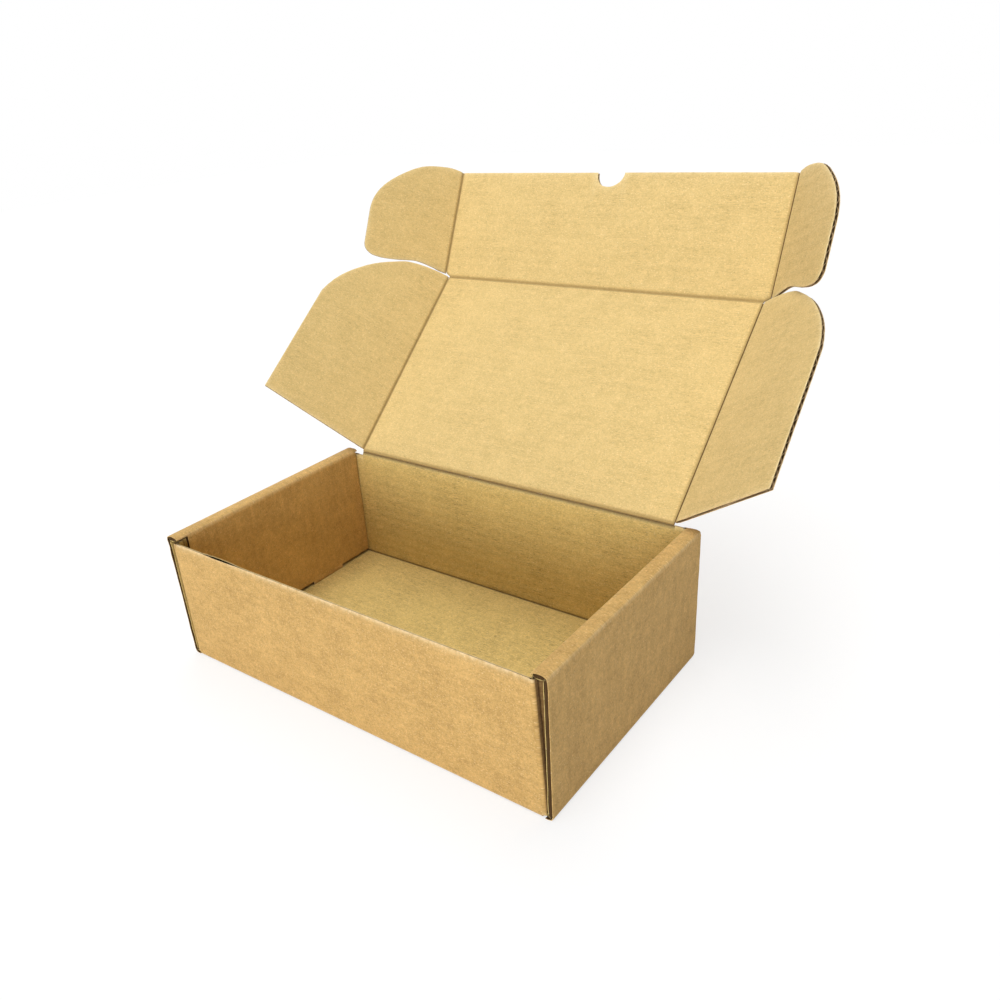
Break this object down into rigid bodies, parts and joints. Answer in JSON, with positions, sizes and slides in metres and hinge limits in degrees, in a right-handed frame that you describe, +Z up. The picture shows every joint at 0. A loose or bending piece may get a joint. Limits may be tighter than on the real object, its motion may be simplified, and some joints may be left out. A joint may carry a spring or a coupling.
{
  "type": "corrugated mailer box",
  "caption": "Corrugated roll-end mailer box, lid open, with side flaps, a tuck flap with ears and a thumb notch, and locked double side walls.",
  "frame": {"origin": "centre of the tray's underside, on the surface it stands on", "axes": "+X to the box's right along its long side, +Y from the front wall to the hinge, +Z up"},
  "size_m": [0.3576, 0.3026, 0.2582],
  "materials": {
    "board": "matte kraft liner"
  },
  "bodies": {
    "tray": {"tray": "board"},
    "lid": {"lid": "board"},
    "lid_left_flap": {"lid_left_flap": "board"},
    "lid_right_flap": {"lid_right_flap": "board"},
    "tuck_flap": {"tuck_flap": "board"},
    "left_ear": {"left_ear": "board"},
    "right_ear": {"right_ear": "board"}
  },
  "joints": [
    {"name": "lid_hinge", "type": "hinge", "parent": "tray", "child": "lid", "pos_m": [0, 0.07805, 0.0845], "axis": [1, 0, 0], "range_deg": [-40.9, 60]},
    {"name": "left_flap_fold", "type": "hinge", "parent": "lid", "child": "lid_left_flap", "pos_m": [-0.1197, 0.07805, 0.0845], "axis": [0, 0.7559, 0.6547], "range_deg": [-46, 44]},
    {"name": "right_flap_fold", "type": "hinge", "parent": "lid", "child": "lid_right_flap", "pos_m": [0.1197, 0.07805, 0.0845], "axis": [0, -0.7559, -0.6547], "range_deg": [-41.4, 48.6]},
    {"name": "tuck_fold", "type": "hinge", "parent": "lid", "child": "tuck_flap", "pos_m": [0, 0.19097, 0.18232], "axis": [1, 0, 0], "range_deg": [-24.7, 4]},
    {"name": "left_ear_fold", "type": "hinge", "parent": "tuck_flap", "child": "left_ear", "pos_m": [-0.1235, 0.19097, 0.18232], "axis": [0, 0.4131, 0.9107], "range_deg": [-49, 41]},
    {"name": "right_ear_fold", "type": "hinge", "parent": "tuck_flap", "child": "right_ear", "pos_m": [0.1235, 0.19097, 0.18232], "axis": [0, -0.4131, -0.9107], "range_deg": [-51, 39]}
  ]
}
